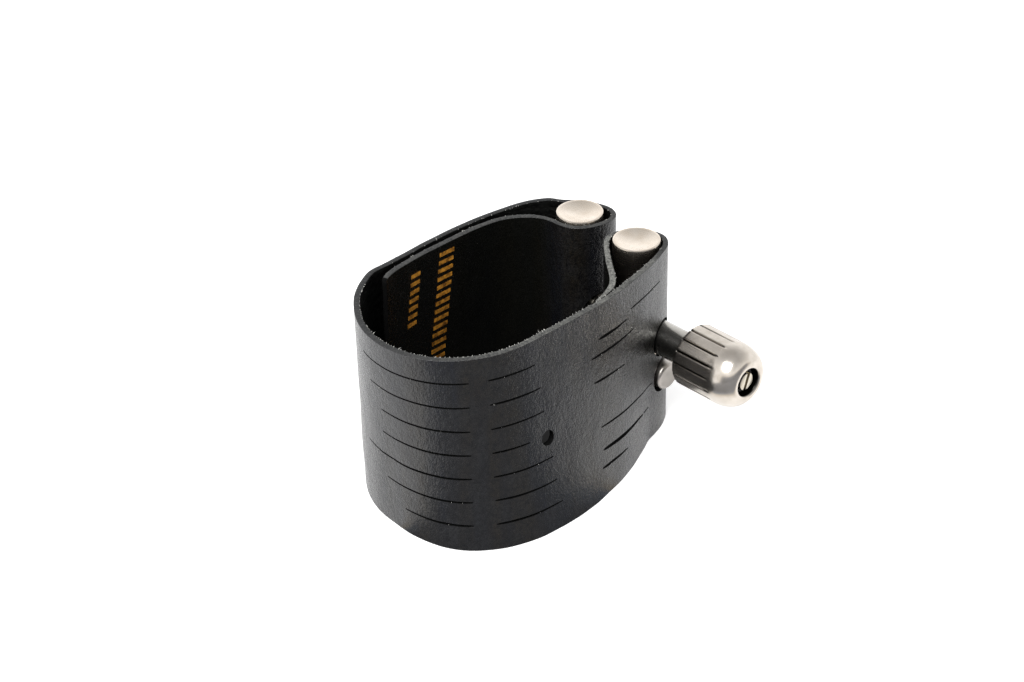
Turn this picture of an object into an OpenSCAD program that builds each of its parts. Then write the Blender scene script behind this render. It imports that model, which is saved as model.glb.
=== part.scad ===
// Strap ligature for a baritone saxophone mouthpiece.
// Millimetres, +Z up along the mouthpiece. The origin is on the axis of the round
// bend that seats the mouthpiece, level with the band's lower rim. +X points from
// the bend to the two barrels, and the knob stands out along -Y.

/* [Band] */
// Height of the band along the mouthpiece
band_h = 25.4; // [22:0.1:30]
// Inside radius of the round bend that seats the mouthpiece
seat_r = 12.1; // [11.8:0.1:12.6]
// Thickness of the strap
strap_t = 0.95; // [0.9:0.05:1.1]
// Thickness of the strap's pared ends, which are bonded to its inside
ply_t = 0.85; // [0.7:0.05:0.9]
// Straight length of the knob-side wall after the bend
front_flat = 5; // [3:0.5:7]
// Angle at which the knob-side wall runs in to its barrel
front_slope = 18; // [16:1:20]
// Radius of the far wall where it curves in to its barrel
back_curve_r = 18.5; // [17:0.5:20]

/* [Barrels] */
// Radius of each barrel
barrel_r = 3; // [2.9:0.05:3.1]
// Distance of both barrels from the seat's axis, along X
barrel_x = 24.75; // [24.2:0.05:25]
// Distance between the barrels' axes, as the ligature stands
barrel_gap = 9.9; // [9.6:0.1:10.4]
// Sideways shift of the barrels' midpoint from the seat's axis
barrel_shift = 0.55; // [0.1:0.05:0.7]
// How far the barrels stand above the band's upper rim
barrel_proud = 0.25; // [0.1:0.05:0.8]

/* [Screw] */
// Height of the screw's axis above the lower rim
screw_z = 13.25; // [12:0.05:14]
// Radius of the threaded stud
stud_r = 1.75; // [1.6:0.05:1.8]
// Radius of the shoulder sleeve
sleeve_r = 2.15; // [2:0.05:2.3]
// Distance from the near barrel's axis to the knob
knob_start = 9.85; // [8:0.1:12]
// Length of the knob
knob_len = 9.1; // [8:0.1:11]
// Radius of the knob
knob_r = 4.1; // [3.8:0.1:4.5]
// Number of grooves round the knob
knob_grooves = 16; // [12:1:18]

/* [Guide pin] */
// Distance of the guide pin below the screw
pin_drop = 5.3; // [5:0.1:6]
// Radius of the guide pin
pin_r = 1.8; // [1.6:0.05:1.85]

/* [Slits] */
// Number of rows of slits
slit_rows = 7; // [3:1:7]
// Distance between the rows
slit_pitch = 3.15; // [3:0.05:3.3]
// Height of each slit
slit_h = 0.25; // [0.2:0.05:0.4]
// Radius of the vent hole
vent_r = 1; // [0.8:0.1:1.3]

/* [Hidden] */
$fn = 96;

near_c = [barrel_x, barrel_shift - barrel_gap / 2];
far_c = [barrel_x, barrel_shift + barrel_gap / 2];
run_gap = 0.05;          // radial clearance of each barrel in its loop
stud_gap = 0.07;         // radial clearance of the stud and the pin in the barrels
trim = 0.03;             // stock inside each round seat, taken off by its true cylinder
bite = 0.03;             // how deep a bonded ply sits in the wall
split_gap = 0.2;         // gap between the two halves at the living hinge
wall_r = seat_r - trim + strap_t / 2;              // middle of the strap round the seat
loop_r = barrel_r + run_gap - trim + strap_t / 2;  // middle of the strap round a barrel
ply_offset = (strap_t + ply_t) / 2 - bite;         // wall's middle to the ply's middle
pin_z = screw_z - pin_drop;
hinge_a = 180 - asin(barrel_shift / wall_r);       // the hinge lies midway between barrels

// A path is traced from a state [x, y, heading] by steps: [radius, sweep] turns,
// left when the sweep is positive, and [length, 0] goes straight.
function go(p, s) = s[1] == 0
    ? [p[0] + s[0] * cos(p[2]), p[1] + s[0] * sin(p[2]), p[2]]
    : let (k = sign(s[1]) * s[0], h = p[2] + s[1])
      [p[0] - k * sin(p[2]) + k * sin(h), p[1] + k * cos(p[2]) - k * cos(h), h];
function samples(p, s) = s[1] == 0 ? [go(p, s)]
    : let (n = ceil(abs(s[1]) / 5)) [for (i = [1:n]) go(p, [s[0], s[1] * i / n])];
function trace(p, steps, i = 0) = i == len(steps) ? [p]
    : concat([p], samples(p, steps[i]), trace(go(p, steps[i]), steps, i + 1));
function last(p, steps, i = 0) = i == len(steps) ? p
    : last(go(p, steps[i]), steps, i + 1);
// Where one step of unit size leads from heading h
function unit(h, s) = let (q = go([0, 0, h], s)) [q[0], q[1]];
// Sizes of two steps, a and b, that together cover the distance d
function pair(a, b, d) = let (k = a[0] * b[1] - a[1] * b[0])
    [(d[0] * b[1] - d[1] * b[0]) / k, (a[0] * d[1] - a[1] * d[0]) / k];
// State on a circle where a left-turning path has heading h (side = 1), or a
// right-turning one (side = -1)
function on_circle(c, r, h, side) = [c[0] + side * r * sin(h), c[1] - side * r * cos(h), h];

// Knob-side wall: round the bend, straight, then one long curve and a straight
// whose sizes are worked out so that it meets its loop at front_slope.
front_start = on_circle([0, 0], wall_r, hinge_a + 90, 1);
front_bend = [wall_r, 270 - hinge_a];
curve_start = last(front_start, [front_bend, [front_flat, 0]]);
near_in = on_circle(near_c, loop_r, 360 + front_slope, 1);
front_fit = pair(unit(0, [1, front_slope]), unit(front_slope, [1, 0]),
                 [near_in[0] - curve_start[0], near_in[1] - curve_start[1]]);
front_wall = [front_bend, [front_flat, 0], [front_fit[0], front_slope], [front_fit[1], 0]];

// Near loop, and its return, which runs across to the wall and is bonded to it
return_h = 231.5;        // heading of the near return's straight part
bond_a = 10.5;           // where along the long curve the return meets the wall
bond_end_a = 4;          // where along it the bonded ply ends
near_loop = [loop_r, return_h - front_slope];
near_out = on_circle(near_c, loop_r, return_h, 1);
ply_curve_r = front_fit[0] - ply_offset;
ply_meet = [curve_start[0] + ply_curve_r * sin(bond_a),
            curve_start[1] + front_fit[0] - ply_curve_r * cos(bond_a)];
near_fit = pair(unit(return_h, [1, 0]), unit(return_h, [1, 180 + bond_a - return_h]),
                [ply_meet[0] - near_out[0], ply_meet[1] - near_out[1]]);
lap = 1;                 // length over which a ply and the strap overlap
lead = 0.3;              // the strap stops this far before its ply starts to curve
near_ply = [[lap + lead, 0], [near_fit[1], 180 + bond_a - return_h],
            [ply_curve_r, bond_end_a - bond_a]];

// Far wall: round the bend, over a shoulder, along the top and in to its loop
shoulder_a = 120;        // where the far wall leaves the round bend
shoulder_len = 2.2;
shoulder_r = 12;
top_h = 1.2;             // heading of the far wall's flat stretch
back_slope = -33;        // heading at the end of its long curve
back_end_r = 5;
back_start = on_circle([0, 0], wall_r, hinge_a - 90, -1);
shoulder = [[wall_r, shoulder_a - hinge_a], [shoulder_len, 0],
            [shoulder_r, top_h - shoulder_a + 90]];
top_start = last(back_start, shoulder);
far_in = on_circle(far_c, loop_r, -90, -1);
back_curve = unit(top_h, [back_curve_r, back_slope - top_h]);
back_end = unit(back_slope, [back_end_r, -90 - back_slope]);
back_fit = pair(unit(top_h, [1, 0]), unit(back_slope, [1, 0]),
                [far_in[0] - top_start[0] - back_curve[0] - back_end[0],
                 far_in[1] - top_start[1] - back_curve[1] - back_end[1]]);
back_wall = concat(shoulder, [[back_fit[0], 0], [back_curve_r, back_slope - top_h],
                              [back_fit[1], 0], [back_end_r, -90 - back_slope]]);

// Far loop, and its return, bonded along the wall's flat stretch to its shoulder
far_return_h = -260;     // heading of the far return's straight part
ply_wrap = 10;           // how far round the shoulder the ply is bonded
far_loop = [loop_r, far_return_h + 90];
far_out = on_circle(far_c, loop_r, far_return_h, -1);
top_end = go(top_start, [back_fit[0], 0]);
top_meet = [top_end[0] + ply_offset * sin(top_h), top_end[1] - ply_offset * cos(top_h)];
far_fit = pair(unit(far_return_h, [1, 0]), unit(far_return_h, [1, top_h - 180 - far_return_h]),
               [top_meet[0] - far_out[0], top_meet[1] - far_out[1]]);
far_ply = [[lap + lead, 0], [far_fit[1], top_h - 180 - far_return_h], [back_fit[0], 0],
           [shoulder_r - ply_offset, ply_wrap]];

// Slits: where each group starts and ends along X. The top row of the third
// group lies further out than the rest.
slit_groups = [[-12.1, -8.3], [-5.9, 0.6], [11.5, 18.6]];
top_slit = [16.4, 22.5];
vent_x = 0.9;
vent_slit_end = -1.8;    // the middle slit of the second group stops before the vent

// Stations along the screw, outward from the near barrel's axis
stud_end = -11.85;
stud_tip = knob_start + knob_len - 0.35;
sleeve_in = 2;           // how far the sleeve enters the knob
cap_depth = 1.6;         // depth of the recess in the knob's end
tip_r = 1.15;

module band(path, t) {
    left = [for (q = path) [q[0] - t / 2 * sin(q[2]), q[1] + t / 2 * cos(q[2])]];
    right = [for (q = path) [q[0] + t / 2 * sin(q[2]), q[1] - t / 2 * cos(q[2])]];
    polygon(concat(left, [for (i = [len(right) - 1:-1:0]) right[i]]));
}

module upright(r, c, z0 = -1, z1 = band_h + 1) {
    translate([c[0], c[1], z0]) cylinder(r = r, h = z1 - z0);
}

// Places children along -Y from the near barrel's axis, at height z
module outward(z) {
    translate([near_c[0], near_c[1], z]) rotate([90, 0, 0]) children();
}

module cross_hole(z, r, from, to) {
    outward(z) translate([0, 0, from]) cylinder(r = r, h = to - from);
}

module slit(x0, x1, row) {
    z = band_h / 2 + ((slit_rows - 1) / 2 - row) * slit_pitch;
    intersection() {
        translate([0, 0, z - slit_h / 2]) linear_extrude(slit_h)
            band(trace(front_start, front_wall), strap_t + 0.6);
        translate([x0, -20, z - 1]) cube([x1 - x0, 19, 2]);
    }
}

module slits() {
    middle = (slit_rows - 1) / 2;
    for (row = [0:slit_rows - 1]) {
        slit(slit_groups[0][0], slit_groups[0][1], row);
        slit(slit_groups[1][0], row == middle ? vent_slit_end : slit_groups[1][1], row);
        if (row == 0) slit(top_slit[0], top_slit[1], row);
        else slit(slit_groups[2][0], slit_groups[2][1], row);
    }
}

module strap_front() {
    steps = concat(front_wall, [near_loop, [near_fit[0] - lead, 0]]);
    color([0.16, 0.16, 0.17]) difference() {
        linear_extrude(band_h) {
            band(trace(front_start, steps), strap_t);
            band(trace(go(last(front_start, steps), [-lap, 0]), near_ply), ply_t);
        }
        upright(seat_r, [0, 0]);
        upright(barrel_r + run_gap, near_c);
        translate([-seat_r - 2, barrel_shift - split_gap / 2, -1]) cube([4, 5, band_h + 2]);
        slits();
        translate([vent_x, -8, band_h / 2]) rotate([90, 0, 0]) cylinder(r = vent_r, h = 8);
        cross_hole(screw_z, sleeve_r + 0.45, 1, 6);
        cross_hole(screw_z, stud_r + 0.45, -6, 0);
        cross_hole(pin_z, pin_r + 0.3, -6, 6);
    }
}

module strap_back() {
    steps = concat(back_wall, [far_loop, [far_fit[0] - lead, 0]]);
    color([0.14, 0.14, 0.15]) difference() {
        linear_extrude(band_h) {
            band(trace(back_start, steps), strap_t);
            band(trace(go(last(back_start, steps), [-lap, 0]), far_ply), ply_t);
        }
        upright(seat_r, [0, 0]);
        upright(barrel_r + run_gap, far_c);
        translate([-seat_r - 2, barrel_shift + split_gap / 2 - 5, -1]) cube([4, 5, band_h + 2]);
        cross_hole(screw_z, stud_r + 0.45, -barrel_gap, -barrel_gap / 2);
        cross_hole(pin_z, pin_r + 0.3, -barrel_gap, -barrel_gap / 2);
    }
}

// A turned barrel with a rounded edge and a shallow dish in each end
module barrel(c) {
    low = 0.15;
    edge = 0.3;
    dish_r = 8;
    dish_depth = 0.4;
    top = band_h + barrel_proud;
    difference() {
        translate([c[0], c[1], 0]) rotate_extrude() polygon([
            [0, low], [barrel_r - edge, low], [barrel_r - edge * 0.3, low + edge * 0.3],
            [barrel_r, low + edge], [barrel_r, top - edge],
            [barrel_r - edge * 0.3, top - edge * 0.3], [barrel_r - edge, top], [0, top]]);
        translate([c[0], c[1], top + dish_r - dish_depth]) sphere(r = dish_r);
        translate([c[0], c[1], low - dish_r + dish_depth]) sphere(r = dish_r);
    }
}

module near_barrel() {
    color([0.80, 0.77, 0.72]) difference() {
        barrel(near_c);
        cross_hole(screw_z, stud_r + stud_gap, -5, 5);
        cross_hole(pin_z, pin_r + stud_gap, -5, 5);
    }
}

module far_barrel() {
    color([0.80, 0.77, 0.72]) difference() {
        barrel(far_c);
        cross_hole(screw_z, stud_r + stud_gap, -barrel_gap - 5, -barrel_gap + 5);
        cross_hole(pin_z, pin_r + 0.01, -barrel_gap - 2.4, -barrel_gap + 5);
    }
}

module guide_pin() {
    tail = -barrel_gap - 2.4;
    nose = 5.85;
    soft = 0.35;
    color([0.78, 0.75, 0.70]) outward(pin_z) rotate_extrude() polygon([
        [0, tail], [pin_r - 0.2, tail], [pin_r, tail + 0.2], [pin_r, nose - soft],
        [pin_r - soft * 0.3, nose - soft * 0.3], [pin_r - soft, nose], [0, nose]]);
}

module screw_stud() {
    neck = knob_start + knob_len - cap_depth - 0.2;
    slot = [0.55, 4, 0.6];
    color([0.82, 0.79, 0.70]) outward(screw_z) difference() {
        rotate_extrude() polygon([
            [0, stud_end], [stud_r - 0.5, stud_end], [stud_r, stud_end + 0.5],
            [stud_r, neck], [tip_r, neck], [tip_r, stud_tip - 0.15],
            [tip_r - 0.15, stud_tip], [0, stud_tip]]);
        rotate([0, 0, 20]) translate([-slot[0] / 2, -slot[1] / 2, stud_tip - slot[2]]) cube(slot);
    }
}

module shoulder_sleeve() {
    seat = barrel_r + 0.02;
    color([0.80, 0.77, 0.72]) outward(screw_z) difference() {
        translate([0, 0, seat]) cylinder(r = sleeve_r, h = knob_start + sleeve_in - seat);
        cylinder(r = stud_r + 0.02, h = knob_start + sleeve_in + 1);
    }
}

// A grooved thimble: rounded shoulder inside, a domed nose outside
module tuning_knob() {
    end = knob_start + knob_len;
    nose = 3.1;          // length of the dome
    face_r = 2.2;        // radius of the flat round the recess
    dome = [for (a = [0:15:90]) [face_r + (knob_r - face_r) * cos(a), end - nose + nose * sin(a)]];
    groove = 0.62;       // side of the square tool that cuts each groove
    groove_len = knob_len * 0.66;
    color([0.79, 0.75, 0.69]) outward(screw_z) difference() {
        rotate_extrude() polygon(concat([[0, knob_start], [knob_r - 0.35, knob_start],
            [knob_r, knob_start + 0.35]], dome, [[0, end]]));
        for (i = [0:knob_grooves - 1]) rotate([0, 0, (i + 0.5) * 360 / knob_grooves])
            translate([knob_r + 0.1, 0, knob_start - 1]) rotate([0, 0, 45])
            translate([-groove / 2, -groove / 2, 0]) cube([groove, groove, groove_len + 1]);
        translate([0, 0, knob_start - 1]) cylinder(r = sleeve_r + 0.02, h = sleeve_in + 1.02);
        cylinder(r = stud_r + 0.02, h = end);
        translate([0, 0, end - cap_depth]) cylinder(r = stud_r + 0.05, h = cap_depth + 1);
    }
}

module knob_seal() {
    seat = knob_start + knob_len - cap_depth;
    color([0.05, 0.05, 0.05]) outward(screw_z) translate([0, 0, seat]) difference() {
        cylinder(r = stud_r + 0.03, h = 0.7);
        translate([0, 0, -1]) cylinder(r = tip_r + 0.02, h = 3);
    }
}

strap_front();
strap_back();
near_barrel();
far_barrel();
screw_stud();
shoulder_sleeve();
tuning_knob();
knob_seal();
guide_pin();
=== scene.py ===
import math

import bpy
import numpy as np
from mathutils import Matrix, Vector, noise
from mathutils.geometry import delaunay_2d_cdt


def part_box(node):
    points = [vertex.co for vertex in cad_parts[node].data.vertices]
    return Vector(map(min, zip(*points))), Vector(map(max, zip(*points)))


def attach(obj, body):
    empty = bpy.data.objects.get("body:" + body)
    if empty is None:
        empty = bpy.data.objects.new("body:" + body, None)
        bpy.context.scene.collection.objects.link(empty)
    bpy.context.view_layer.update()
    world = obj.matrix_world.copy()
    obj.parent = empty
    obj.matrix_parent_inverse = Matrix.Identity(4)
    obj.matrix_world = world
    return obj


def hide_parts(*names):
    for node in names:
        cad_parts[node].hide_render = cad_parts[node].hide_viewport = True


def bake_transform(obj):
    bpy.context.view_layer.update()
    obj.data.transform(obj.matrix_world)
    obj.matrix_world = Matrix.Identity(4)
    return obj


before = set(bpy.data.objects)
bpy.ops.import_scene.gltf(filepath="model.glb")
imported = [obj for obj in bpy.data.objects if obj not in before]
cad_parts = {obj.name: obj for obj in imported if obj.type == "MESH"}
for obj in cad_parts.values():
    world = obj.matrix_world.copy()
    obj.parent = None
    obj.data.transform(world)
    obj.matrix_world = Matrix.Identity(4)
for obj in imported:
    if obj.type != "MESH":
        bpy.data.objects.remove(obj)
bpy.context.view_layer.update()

# ---- Sizes, in millimetres, read from the frame ----
MM = 0.001


def box_mm(name):
    low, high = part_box(name)
    return np.array(low) / MM, np.array(high) / MM


def middle(name):
    low, high = box_mm(name)
    return (low + high) / 2


BAND_H = box_mm("strap_front")[1][2]
NEAR = middle("near_barrel")[:2]
FAR = middle("far_barrel")[:2]
BARREL_R = (box_mm("near_barrel")[1][0] - box_mm("near_barrel")[0][0]) / 2
BARREL_LOW, BARREL_TOP = box_mm("near_barrel")[0][2], box_mm("near_barrel")[1][2]
SCREW_X, SCREW_Z = middle("screw_stud")[0], middle("screw_stud")[2]
PIN_Z = middle("guide_pin")[2]
HINGE_Y = (NEAR[1] + FAR[1]) / 2
KNOB_LOW, KNOB_HIGH = box_mm("tuning_knob")
KNOB_IN, KNOB_OUT = KNOB_HIGH[1], KNOB_LOW[1]      # y of the knob's inner and outer ends
KNOB_LEN = KNOB_IN - KNOB_OUT
KNOB_R = (KNOB_HIGH[0] - KNOB_LOW[0]) / 2
GROOVES = 16
RECESS_R, RECESS_DEPTH, FACE_R = 1.8, 1.6, 2.2
STUD_R, SLEEVE_R, PIN_R = 1.75, 2.15, 1.8


# ---- Small helpers ----
def smooth(x, a, b):
    """0 before a, 1 after b, and a smooth step between them."""
    t = np.clip((np.asarray(x, float) - a) / (b - a), 0, 1)
    return t * t * (3 - 2 * t)


def add_object(name, data):
    thing = bpy.data.objects.new(name, data)
    bpy.context.scene.collection.objects.link(thing)
    return thing


def mark(mesh, name, values):
    """Gives each vertex a number, which the material reads."""
    mesh.attributes.new(name, "FLOAT", "POINT").data.foreach_set("value", values.astype(np.float32))


def new_piece(name, verts_mm, faces, materials, body=None, material_ids=None):
    """A smooth-shaded mesh object from points in mm, which rides on a body."""
    mesh = bpy.data.meshes.new(name)
    mesh.from_pydata([tuple(v) for v in np.asarray(verts_mm) * MM], [], faces)
    for m in materials:
        mesh.materials.append(m)
    if material_ids is not None:
        mesh.polygons.foreach_set("material_index", material_ids)
    mesh.validate()
    mesh.shade_smooth()
    piece = add_object(name, mesh)
    if body:
        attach(piece, body)
    return piece


def sharpen(piece, degrees):
    """Creases every edge that is sharper than that angle."""
    piece.data.set_sharp_from_angle(angle=math.radians(degrees))


def stand_in(piece, cad_name, body, degrees):
    """Creases a turned piece's edges, and has it ride on its body in place of the CAD's node."""
    sharpen(piece, degrees)
    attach(piece, body)
    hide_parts(cad_name)


def cut(piece, cutters):
    """Takes closed meshes off a piece with exact booleans."""
    for cutter in cutters:
        step = piece.modifiers.new("cut", "BOOLEAN")
        step.operation = "DIFFERENCE"
        step.solver = "EXACT"
        step.object = cutter
    bpy.context.view_layer.update()
    evaluated = piece.evaluated_get(bpy.context.evaluated_depsgraph_get())
    mesh = bpy.data.meshes.new_from_object(evaluated)
    piece.modifiers.clear()
    piece.data = mesh
    for cutter in cutters:
        bpy.data.objects.remove(cutter)


# ---- Materials ----
class Tree:
    """Shader nodes under construction."""

    def __init__(self, node_tree):
        self.nodes = node_tree.nodes
        self.links = node_tree.links

    def add(self, kind, inputs=(), **props):
        n = self.nodes.new("ShaderNode" + kind)
        for key, value in props.items():
            setattr(n, key, value)
        for key, value in dict(inputs).items():
            self.join(value, n.inputs[key])
        return n

    def join(self, value, socket):
        if isinstance(value, bpy.types.NodeSocket):
            self.links.new(value, socket)
        else:
            socket.default_value = value

    def math(self, operation, a, b=0.0):
        return self.add("Math", {0: a, 1: b}, operation=operation).outputs[0]

    def plus(self, a, b):
        return self.math("ADD", a, b)

    def times(self, a, b):
        return self.math("MULTIPLY", a, b)

    def hypot(self, a, b):
        return self.math("SQRT", self.plus(self.times(a, a), self.times(b, b)))

    def object_point(self):
        return self.add("TexCoord").outputs["Object"]

    def mix(self, share, a, b):
        """Colour a where share is 0, and b where it is 1. Each is (r, g, b) or a node's output."""
        a, b = (c if isinstance(c, bpy.types.NodeSocket) else (*c, 1) for c in (a, b))
        return self.add("Mix", {"Factor": share, 6: a, 7: b}, data_type="RGBA").outputs[2]

    def tones(self, value, low, high, a, b):
        """Colour a where the value is low, and b where it is high."""
        return self.mix(self.ramp(value, low, high), a, b)

    def noise(self, vector, scale, detail=2.0, rough=0.5, distortion=0.0):
        return self.add("TexNoise", {"Vector": vector, "Scale": scale, "Detail": detail,
                                     "Roughness": rough, "Distortion": distortion}).outputs["Fac"]

    def ramp(self, value, low, high, start=0.0, end=1.0):
        """Value stretched from low..high to start..end."""
        return self.add("MapRange", {"Value": value, "From Min": low, "From Max": high,
                                     "To Min": start, "To Max": end}).outputs[0]

    def mapping(self, vector, scale):
        return self.add("Mapping", {"Vector": vector, "Scale": scale}).outputs[0]

    def bump(self, height, distance_mm, strength=1.0, normal=None):
        inputs = {"Height": height, "Distance": distance_mm * MM, "Strength": strength}
        if normal is not None:
            inputs["Normal"] = normal
        return self.add("Bump", inputs).outputs[0]

    def colours(self, value, stops):
        """A colour ramp through (place, colour) stops."""
        ramp = self.add("ValToRGB", {0: value})
        elements = ramp.color_ramp.elements
        while len(elements) < len(stops):
            elements.new(0.5)
        for element, (place_on_ramp, colour) in zip(elements, stops):
            element.position = place_on_ramp
            element.color = colour + (1,)
        return ramp.outputs[0]


class Surface(Tree):
    """A node material under construction."""

    def __init__(self, name, **shader):
        self.material = bpy.data.materials.new(name)
        self.material.use_nodes = True
        super().__init__(self.material.node_tree)
        self.shader = self.nodes["Principled BSDF"]
        for socket, value in shader.items():
            self.shader.inputs[socket.replace("_", " ")].default_value = value

    def shade(self, **sockets):
        for socket, value in sockets.items():
            self.join(value, self.shader.inputs[socket.replace("_", " ")])
        return self.material


STRIP_UV = "strip"   # u along the strap and v up it, both in mm


def strip_coordinates(t):
    return t.add("UVMap", uv_map=STRIP_UV).outputs[0]


def weave_height(t, uv, pitch_u, pitch_v):
    """Plain weave: crowns of warp and weft that pass over each other in turn."""
    u, v, _ = t.add("SeparateXYZ", {0: uv}).outputs
    wobble = t.times(t.noise(uv, 1.3, 2.0), 0.5)
    a = t.math("SINE", t.times(t.plus(u, wobble), 2 * math.pi / pitch_u))
    b = t.math("SINE", t.times(t.plus(v, wobble), 2 * math.pi / pitch_v))
    return t.times(a, b)


def coat_material():
    """The strap's coated face: charcoal, pebbled where the weave shows through."""
    t = Surface("strap_coat")
    uv = strip_coordinates(t)
    stain_and_painted_shade = t.add("Attribute", attribute_name="stain_and_painted_shade").outputs["Fac"]
    cells = t.add("TexVoronoi", {"Vector": t.mapping(uv, (2.6, 1.7, 1)), "Scale": 1.0, "Randomness": 0.85},
                  feature="SMOOTH_F1")
    pebble = t.math("SUBTRACT", 1.0, cells.outputs["Distance"])
    grain = t.noise(t.mapping(uv, (5.5, 3.2, 1)), 1.0, 3.0, 0.6)
    height = t.plus(t.times(pebble, 0.6), t.times(grain, 0.9))
    dents = t.noise(uv, 0.14, 3.0)
    streaks = t.noise(t.mapping(uv, (0.20, 0.015, 1)), 1.0, 3.0, 0.6)
    cloud = t.noise(t.mapping(uv, (0.5, 0.25, 1)), 1.0, 5.0, 0.65)
    tint = t.tones(streaks, 0.42, 0.58, (0.0070, 0.0080, 0.0115), (0.0140, 0.0115, 0.0085))
    colour = t.tones(cloud, 0.40, 0.75, tint, (0.017, 0.017, 0.018))
    # Painted shade: the pebble's pits are darker.
    pits = t.tones(height, 0.50, 0.95, (0.0040, 0.0040, 0.0045), colour)
    # Painted shade: darker colour and weaker reflection beside the sleeve and on the inner plies.
    with_painted_shade = t.mix(stain_and_painted_shade, pits, (0.0035, 0.0036, 0.0028))
    return t.shade(Base_Color=with_painted_shade, Roughness=t.ramp(t.plus(grain, cloud), 0.6, 1.4, 0.21, 0.33),
                   Specular_IOR_Level=t.ramp(stain_and_painted_shade, 0.0, 1.0, 0.60, 0.12),
                   Normal=t.bump(dents, 0.5, 0.5, t.bump(height, 0.085)))


def lining_material():
    """The strap's other face, smoother and nearly black."""
    t = Surface("strap_lining", Specular_IOR_Level=0.16)
    uv = strip_coordinates(t)
    weave = weave_height(t, uv, 0.92, 0.78)
    crease = t.noise(t.mapping(uv, (0.5, 1.4, 1)), 1.0, 4.0, 0.6, 0.4)
    # Painted sheen: the creases' crests are a little lighter and greener.
    colour = t.tones(crease, 0.4, 0.7, (0.0022, 0.0022, 0.0022), (0.0060, 0.0065, 0.0060))
    return t.shade(Base_Color=colour, Roughness=t.ramp(crease, 0.0, 1.0, 0.30, 0.5),
                   Normal=t.bump(crease, 0.35, 0.8, t.bump(weave, 0.012)))


def rim_material():
    """The cut edge: dark core with grey fibres, lighter where the edge is worn, and a painted highlight along
    the knob-side wall's rim.
    """
    t = Surface("strap_rim", Specular_IOR_Level=0.3)
    uv = strip_coordinates(t)
    wear_and_highlight = t.add("Attribute", attribute_name="wear_and_highlight").outputs["Fac"]
    fibre = t.noise(t.mapping(uv, (2.6, 2.6, 1)), 1.0, 5.0, 0.75)
    patch = t.noise(t.mapping(uv, (0.35, 0.35, 1)), 1.0, 3.0, 0.6)
    level = t.plus(t.times(fibre, 0.75), t.times(patch, 0.25))
    # Partly painted highlight: the rim's fibres show lighter where this share is high.
    share = t.times(t.ramp(level, 0.40, 0.66), wear_and_highlight)
    return t.shade(Base_Color=t.mix(share, (0.014, 0.0145, 0.016), (0.34, 0.34, 0.31)),
                   Roughness=t.ramp(fibre, -0.6, 1.2), Normal=t.bump(fibre, 0.12))


def cut_material():
    """The walls of the holes and knife cuts, painted dull and nearly black: painted shade."""
    t = Surface("strap_cut", Roughness=0.9, Specular_IOR_Level=0.05)
    fibre = t.noise(t.mapping(strip_coordinates(t), (4.0, 4.0, 1)), 1.0, 4.0, 0.7)
    return t.shade(Base_Color=t.tones(fibre, 0.4, 0.7, (0.002, 0.002, 0.002), (0.007, 0.007, 0.007)),
                   Normal=t.bump(fibre, 0.05))


def thread_material():
    t = Surface("thread_ends", Roughness=0.7, Specular_IOR_Level=0.3, Sheen_Weight=0.4)
    tone = t.noise(t.object_point(), 900.0, 2.0)
    return t.shade(Base_Color=t.tones(tone, 0.35, 0.7, (0.16, 0.16, 0.15), (0.62, 0.61, 0.56)))


def metal_material(name, light, dark, rough, axis, centre, ring_scale, ring_depth, painted_shade=None):
    """Turned nickel: rings about its axis, faint stains and small scratches. The optional last argument,
    a function of (t, radius, along), gives the share of painted shade: near-black colour at a distance from
    the axis and a place along it."""
    t = Surface(name, Metallic=1.0)
    spot = t.object_point()
    here = t.add("VectorMath", {0: spot, 1: [-c * MM for c in centre]}, operation="ADD").outputs[0]
    x, y, z = t.add("SeparateXYZ", {0: here}).outputs
    across = {"Z": (x, y), "Y": (x, z)}[axis]
    along = {"Z": z, "Y": y}[axis]
    radius = t.hypot(*across)
    turned = t.add("CombineXYZ", {0: radius, 1: along, 2: 0.0}).outputs[0]
    rings = t.noise(turned, ring_scale, 3.0, 0.7)
    stain_and_painted_shade = t.noise(spot, 520.0, 4.0, 0.6)
    scratch = t.noise(t.mapping(spot, (400, 2600, 900)), 1.0, 3.0, 0.7)
    colour = t.tones(stain_and_painted_shade, 0.35, 0.7, light, dark)
    if painted_shade:
        # Painted shade: the colour goes near black where the shade function says.
        colour = t.mix(painted_shade(t, radius, along), colour, (0.016, 0.016, 0.014))
    return t.shade(Base_Color=colour,
                   Roughness=t.ramp(t.plus(stain_and_painted_shade, rings), 0.6, 1.4, rough - 0.06, rough + 0.08),
                   Normal=t.bump(t.plus(rings, t.times(scratch, 0.25)), ring_depth))


# Painted shade: a black ring that fills the knob's recess round the stud's tip, where shade falls.
def shade_ring_material():
    t = Surface("shade_ring_black", Roughness=0.55, Specular_IOR_Level=0.4)
    dust = t.noise(t.object_point(), 2500.0, 3.0)
    return t.shade(Base_Color=t.tones(dust, 0.5, 0.8, (0.008, 0.008, 0.008), (0.03, 0.03, 0.03)),
                   Normal=t.bump(dust, 0.02))


def print_material():
    t = Surface("orange_print", Roughness=0.45)
    wear_and_highlight = t.noise(t.object_point(), 1400.0, 4.0, 0.7)
    return t.shade(Base_Color=t.tones(wear_and_highlight, 0.35, 0.62, (0.10, 0.035, 0.004), (0.62, 0.27, 0.03)),
                   Normal=t.bump(wear_and_highlight, 0.02))


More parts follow.
